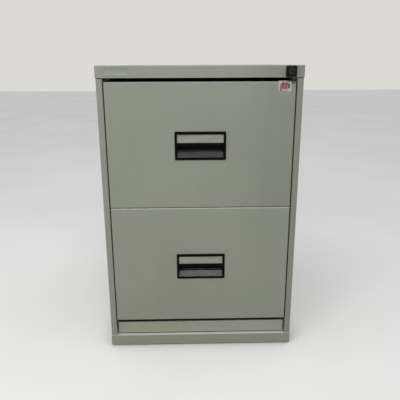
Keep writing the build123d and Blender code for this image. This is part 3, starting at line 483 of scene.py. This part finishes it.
# Behind this depth the rail's top lies under the lower drawer and is painted black as shadow.
RAIL_SHADOWED_FROM = -0.2915
FILM_AIR_GAP = 0.00006

MATERIALS = {
    "green_grey_paint": painted_steel("carcass_paint", CARCASS_PAINT, joint_shade=0.004),
    "zinc_plate": zinc_plated("zinc_plate"),
    "black_plastic": moulded_plastic("black_plastic", BLACK_PLASTIC),
    "clear_film": clear_film("clear_film"),
    "black_lock": black_lacquer("black_lacquer"),
    "nickel": dull_nickel("dull_nickel"),
    "rubber": moulded_rubber("moulded_rubber"),
    "nylon": natural_nylon("natural_nylon"),
    "ball_steel": polished_steel("ball_steel"),
    "aluminium": blank_plate("plate_enamel", *front_plate_place("nameplate")),
    "paper": paper_label("paper", *front_plate_place("sticker")),
}
# The skins, the cap and the rail take lighter and darker copies of the carcass colour as painted light
# and shade, darkest on the right-hand skin and lightest on the rail.
PAINT_OF = {
    "left_side_panel": painted_steel(
        "left_skin_paint", scaled(CARCASS_PAINT, 0.96), joint_shade=0.003,
    ),
    "right_side_panel": painted_steel(
        "right_skin_paint", scaled(CARCASS_PAINT, 0.86), joint_shade=0.007,
    ),
    "top_panel": painted_steel(
        "cap_paint", scaled(CARCASS_PAINT, 1.03), joint_shade=0.0012, handling_and_shade=0.30,
    ),
    "base_frame": painted_steel(
        "plinth_paint", scaled(CARCASS_PAINT, 0.99), joint_shade=0.003, dust_and_highlight_range=THICK_DUST_AND_HIGHLIGHT,
    ),
    "bottom_rail": painted_steel(
        "rail_paint", LIGHTENED_RAIL_PAINT, joint_shade=0.003, dust_and_highlight_range=THIN_DUST_AND_HIGHLIGHT, shade_behind=RAIL_SHADOWED_FROM,
    ),
    "upper_drawer_front": painted_steel(
        "upper_front_paint", PAINT, SHADOW_UNDER_LOCK, dust_and_highlight_range=THIN_DUST_AND_HIGHLIGHT, handling_and_shade=0.15,
    ),
    "lower_drawer_front": painted_steel(
        "lower_front_paint", scaled(PAINT, 1.01), LOWER_FRONT_SCUFFS, dust_and_highlight_range=THICK_DUST_AND_HIGHLIGHT,
    ),
}


def assign(node, material):
    for slot in NODES[node].material_slots:
        slot.material = material


for entry in frame["record"]["subparts"]:
    assign(entry["node"], MATERIALS[entry["material_slot"]])
for node, paint in PAINT_OF.items():
    assign(node, paint)

# The label films lie flat on the drawer fronts; shrinking each a little leaves a thin air gap.
for level in ("upper", "lower"):
    air_gap = NODES[f"{level}_label_window"].modifiers.new("air_gap", "DISPLACE")
    air_gap.mid_level = 0.0
    air_gap.strength = -FILM_AIR_GAP


# ---------------------------------------------------------------- studio

FLOOR_HALF = 12.0
FLOOR_PALE = ((0.60, 0.59, 0.575), (0.63, 0.62, 0.605))
FLOOR_BOUNCE = (0.33, 0.28, 0.22)
FLOOR_GLOW = 0.30
CONTACT_SHADOW = 0.06
ROOM_LIGHT = 0.60
ROOM_COLOUR = (0.94, 0.97, 1.0)
BACKDROP = (0.72, 0.70, 0.67)

LENS = 41.49
CAMERA_X = -0.0254
CAMERA_TO_FRONT = 1.0653
CAMERA_HEIGHT = 0.713
TILT_DOWN = 16.412
TURN_RIGHT = 1.291
ROLL = -0.213

# Name, place, point aimed at, diameter, power and colour.
LIGHTS = (
    ("key", (-1.25, -1.80, 1.40), (0.0, -0.3, 0.45), 0.9, 12.0, (1.0, 0.98, 0.95)),
    ("fill", (0.10, -2.75, 2.15), (0.0, 0.0, 0.10), 1.1, 25.5, (0.97, 0.985, 1.0)),
    ("overhead", (-0.2, -0.75, 3.0), (0.0, -0.2, 0.3), 2.4, 22.0, (0.95, 0.98, 1.0)),
)


def add_floor():
    mesh = bpy.data.meshes.new("studio_floor")
    corners = [
        (-FLOOR_HALF, -FLOOR_HALF, 0.0), (FLOOR_HALF, -FLOOR_HALF, 0.0),
        (FLOOR_HALF, FLOOR_HALF, 0.0), (-FLOOR_HALF, FLOOR_HALF, 0.0),
    ]
    mesh.from_pydata(corners, [], [(0, 1, 2, 3)])
    floor = bpy.data.objects.new("studio_floor", mesh)
    bpy.context.scene.collection.objects.link(floor)
    matt = Recipe("floor_card")
    pale = matt.mix(matt.ramp(matt.noise(1.5, 3.0), 0.3, 0.7), *FLOOR_PALE)
    seen = matt.tree.nodes.new("ShaderNodeLightPath").outputs["Is Camera Ray"]
    # The camera sees a pale card; the light that bounces up from it is that of a wooden floor.
    matt.set(Base_Color=matt.mix(seen, FLOOR_BOUNCE, pale), Roughness=0.85)
    # The floor's glow for the camera fades close to the cabinet: a painted contact shadow.
    open_sky = matt.tree.nodes.new("ShaderNodeAmbientOcclusion")
    open_sky.samples = 8
    open_sky.inputs["Distance"].default_value = CONTACT_SHADOW
    lit = matt.times(seen, matt.ramp(open_sky.outputs["AO"], 0.35, 1.0))
    matt.set(Emission_Color=pale, Emission_Strength=matt.times(lit, FLOOR_GLOW))
    mesh.materials.append(matt.material)


def add_area_light(name, place, aim, size, power, colour):
    lamp = bpy.data.lights.new(name, "AREA")
    lamp.shape = "DISK"
    lamp.size = size
    lamp.energy = power
    lamp.color = colour
    light = bpy.data.objects.new(name, lamp)
    light.location = place
    light.rotation_euler = (Vector(aim) - Vector(place)).to_track_quat("-Z", "Y").to_euler()
    bpy.context.scene.collection.objects.link(light)


def add_world():
    """Dim grey room light, with a pale backdrop that only the camera sees."""
    world = bpy.data.worlds.new("studio_world")
    world.use_nodes = True
    tree = world.node_tree
    room = tree.nodes["Background"]
    room.inputs["Color"].default_value = (*ROOM_COLOUR, 1.0)
    room.inputs["Strength"].default_value = ROOM_LIGHT
    backdrop = tree.nodes.new("ShaderNodeBackground")
    backdrop.inputs["Color"].default_value = (*BACKDROP, 1.0)
    seen = tree.nodes.new("ShaderNodeLightPath").outputs["Is Camera Ray"]
    blend = tree.nodes.new("ShaderNodeMixShader")
    tree.links.new(seen, blend.inputs[0])
    tree.links.new(room.outputs[0], blend.inputs[1])
    tree.links.new(backdrop.outputs[0], blend.inputs[2])
    tree.links.new(blend.outputs[0], tree.nodes["World Output"].inputs["Surface"])
    bpy.context.scene.world = world


def add_camera():
    """Camera a little left of the middle, at about the height of the cap, looking down."""
    front_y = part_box("top_panel")[0][1]
    lens = bpy.data.cameras.new("camera")
    lens.sensor_width = 36.0
    lens.lens = LENS
    lens.clip_start = 0.01
    camera = bpy.data.objects.new("camera", lens)
    camera.matrix_world = (
        Matrix.Translation((CAMERA_X, front_y - CAMERA_TO_FRONT, CAMERA_HEIGHT))
        @ Matrix.Rotation(math.radians(-TURN_RIGHT), 4, "Z")
        @ Matrix.Rotation(math.radians(90.0 - TILT_DOWN), 4, "X")
        @ Matrix.Rotation(math.radians(ROLL), 4, "Z")
    )
    bpy.context.scene.collection.objects.link(camera)
    bpy.context.scene.camera = camera


add_floor()
add_world()
for light_values in LIGHTS:
    add_area_light(*light_values)
add_camera()
bpy.context.scene.view_settings.view_transform = "Standard"
